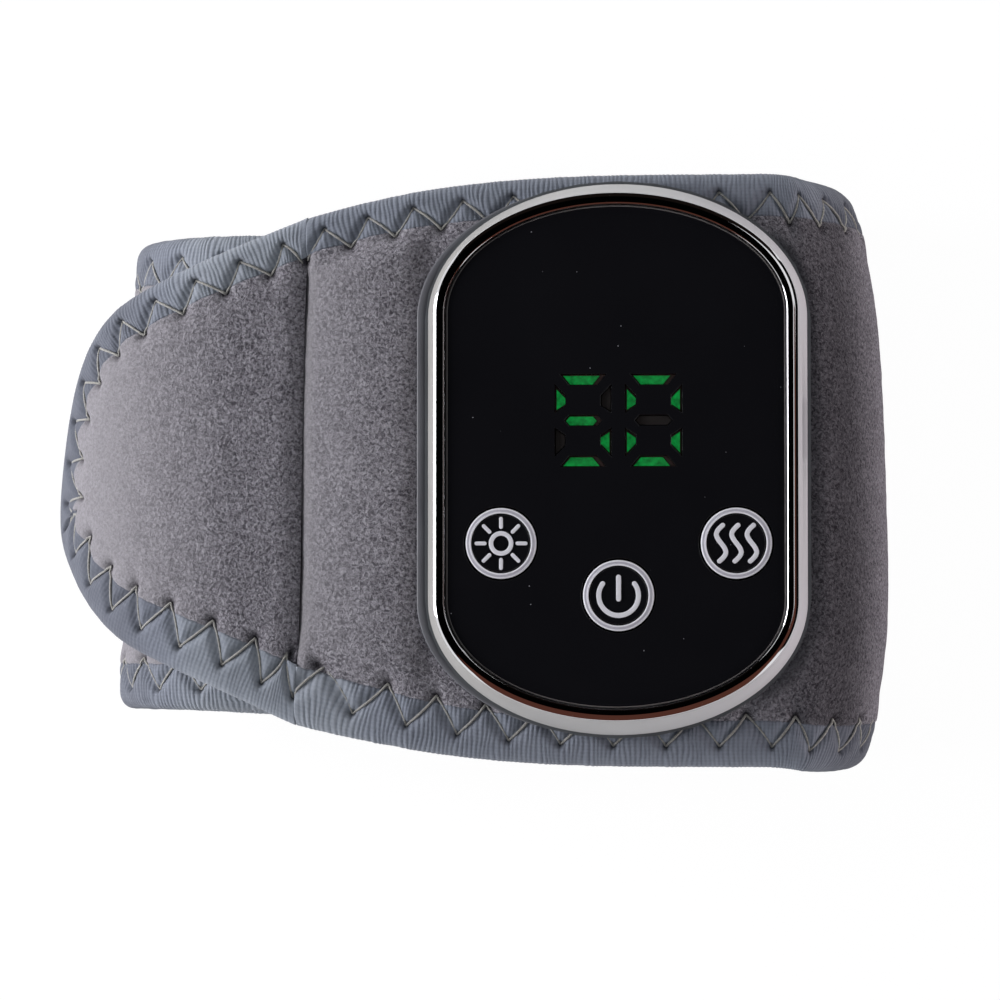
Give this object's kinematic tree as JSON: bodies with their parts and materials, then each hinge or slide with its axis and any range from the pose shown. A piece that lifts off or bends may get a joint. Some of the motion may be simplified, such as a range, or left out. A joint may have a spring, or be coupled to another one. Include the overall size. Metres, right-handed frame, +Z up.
{
  "type": "heated wrist massager",
  "caption": "Heated wrist massager: padded cloth wrap closed in a loop, with a rounded black-faced control unit, lit digits and round touch keys.",
  "frame": {"origin": "on the flat underside of the rear band, straight below the middle of the control unit", "axes": "+Z up through the control unit's face, +X round the wrist towards the plain bend, away from the closure strap, +Y along the arm, towards the top of the digits"},
  "size_m": [0.1219, 0.0835, 0.0563],
  "materials": {
    "pile_cloth": "brushed loop-pile cloth, matte",
    "lining_cloth": "soft short-pile lining",
    "binding_tape": "woven ribbed tape, zigzag sewn",
    "hook_tape": "hook fastening tape",
    "foam": "soft foam",
    "heater_film": "amber flexible film",
    "dark_plastic": "fine satin moulding",
    "grey_plastic": "satin moulding",
    "chrome_plate": "mirror plated",
    "black_gloss": "polished",
    "silver_ring": "satin silver",
    "light_pipe": "clear green when lit",
    "board": "solder mask",
    "cell_foil": "soft foil pouch",
    "steel": "plated",
    "black_nylon": "moulded",
    "rubber": "moulded"
  },
  "bodies": {
    "root": {"front_panel_cover": "pile_cloth", "front_padding": "foam", "heating_film": "heater_film", "temperature_sensor": "black_nylon", "front_panel_lining": "lining_cloth", "front_binding_upper": "binding_tape", "front_binding_lower": "binding_tape", "back_shell": "dark_plastic", "side_frame": "grey_plastic", "chrome_bezel": "chrome_plate", "display_lens": "black_gloss", "light_guide": "light_pipe", "main_board": "board", "controller_chip": "black_nylon", "battery_pad": "foam", "battery": "cell_foil", "clamp_plate": "steel", "heater_ribbon": "heater_film", "clamp_screw_1": "steel", "clamp_screw_2": "steel", "clamp_screw_3": "steel", "clamp_screw_4": "steel", "board_screw_1": "steel", "board_screw_2": "steel", "board_screw_3": "steel", "board_screw_4": "steel", "motor_can": "steel", "motor_end_cap": "black_nylon", "motor_sleeve": "rubber", "charge_socket_shell": "steel", "charge_socket_tongue": "black_nylon", "heat_switch": "steel", "power_switch": "steel", "massage_switch": "steel"},
    "closure_strap": {"closure_strap_cover": "pile_cloth", "closure_strap_binding": "binding_tape", "hook_patch": "hook_tape"},
    "rear_band": {"rear_band_cover": "pile_cloth", "rear_band_lining": "lining_cloth", "rear_band_binding": "binding_tape"},
    "motor_rotor": {"motor_shaft": "steel", "motor_weight": "steel"},
    "heat_key": {"heat_button": "black_gloss", "heat_button_ring": "silver_ring", "heat_switch_plunger": "black_nylon"},
    "power_key": {"power_button": "black_gloss", "power_button_ring": "silver_ring", "power_switch_plunger": "black_nylon"},
    "massage_key": {"massage_button": "black_gloss", "massage_button_ring": "silver_ring", "massage_switch_plunger": "black_nylon"}
  },
  "joints": [
    {"name": "strap_peel", "type": "hinge", "parent": "root", "child": "closure_strap", "pos_m": [-0.044, 0, 0.0423], "axis": [0, 1, 0], "range_deg": [0, 110]},
    {"name": "band_open", "type": "hinge", "parent": "root", "child": "rear_band", "pos_m": [0.03885, 0, 0.022], "axis": [0, -1, 0], "range_deg": [0, 60]},
    {"name": "heat_press", "type": "slide", "parent": "root", "child": "heat_key", "axis": [0, 0, -1], "range_m": [0, 0.0004], "stiffness_N_per_m": 500},
    {"name": "power_press", "type": "slide", "parent": "root", "child": "power_key", "axis": [0, 0, -1], "range_m": [0, 0.0004], "stiffness_N_per_m": 500},
    {"name": "massage_press", "type": "slide", "parent": "root", "child": "massage_key", "axis": [0, 0, -1], "range_m": [0, 0.0004], "stiffness_N_per_m": 500},
    {"name": "motor_spin", "type": "hinge", "parent": "root", "child": "motor_rotor", "pos_m": [0, 0.027, 0.04955], "axis": [1, 0, 0], "continuous": true}
  ]
}
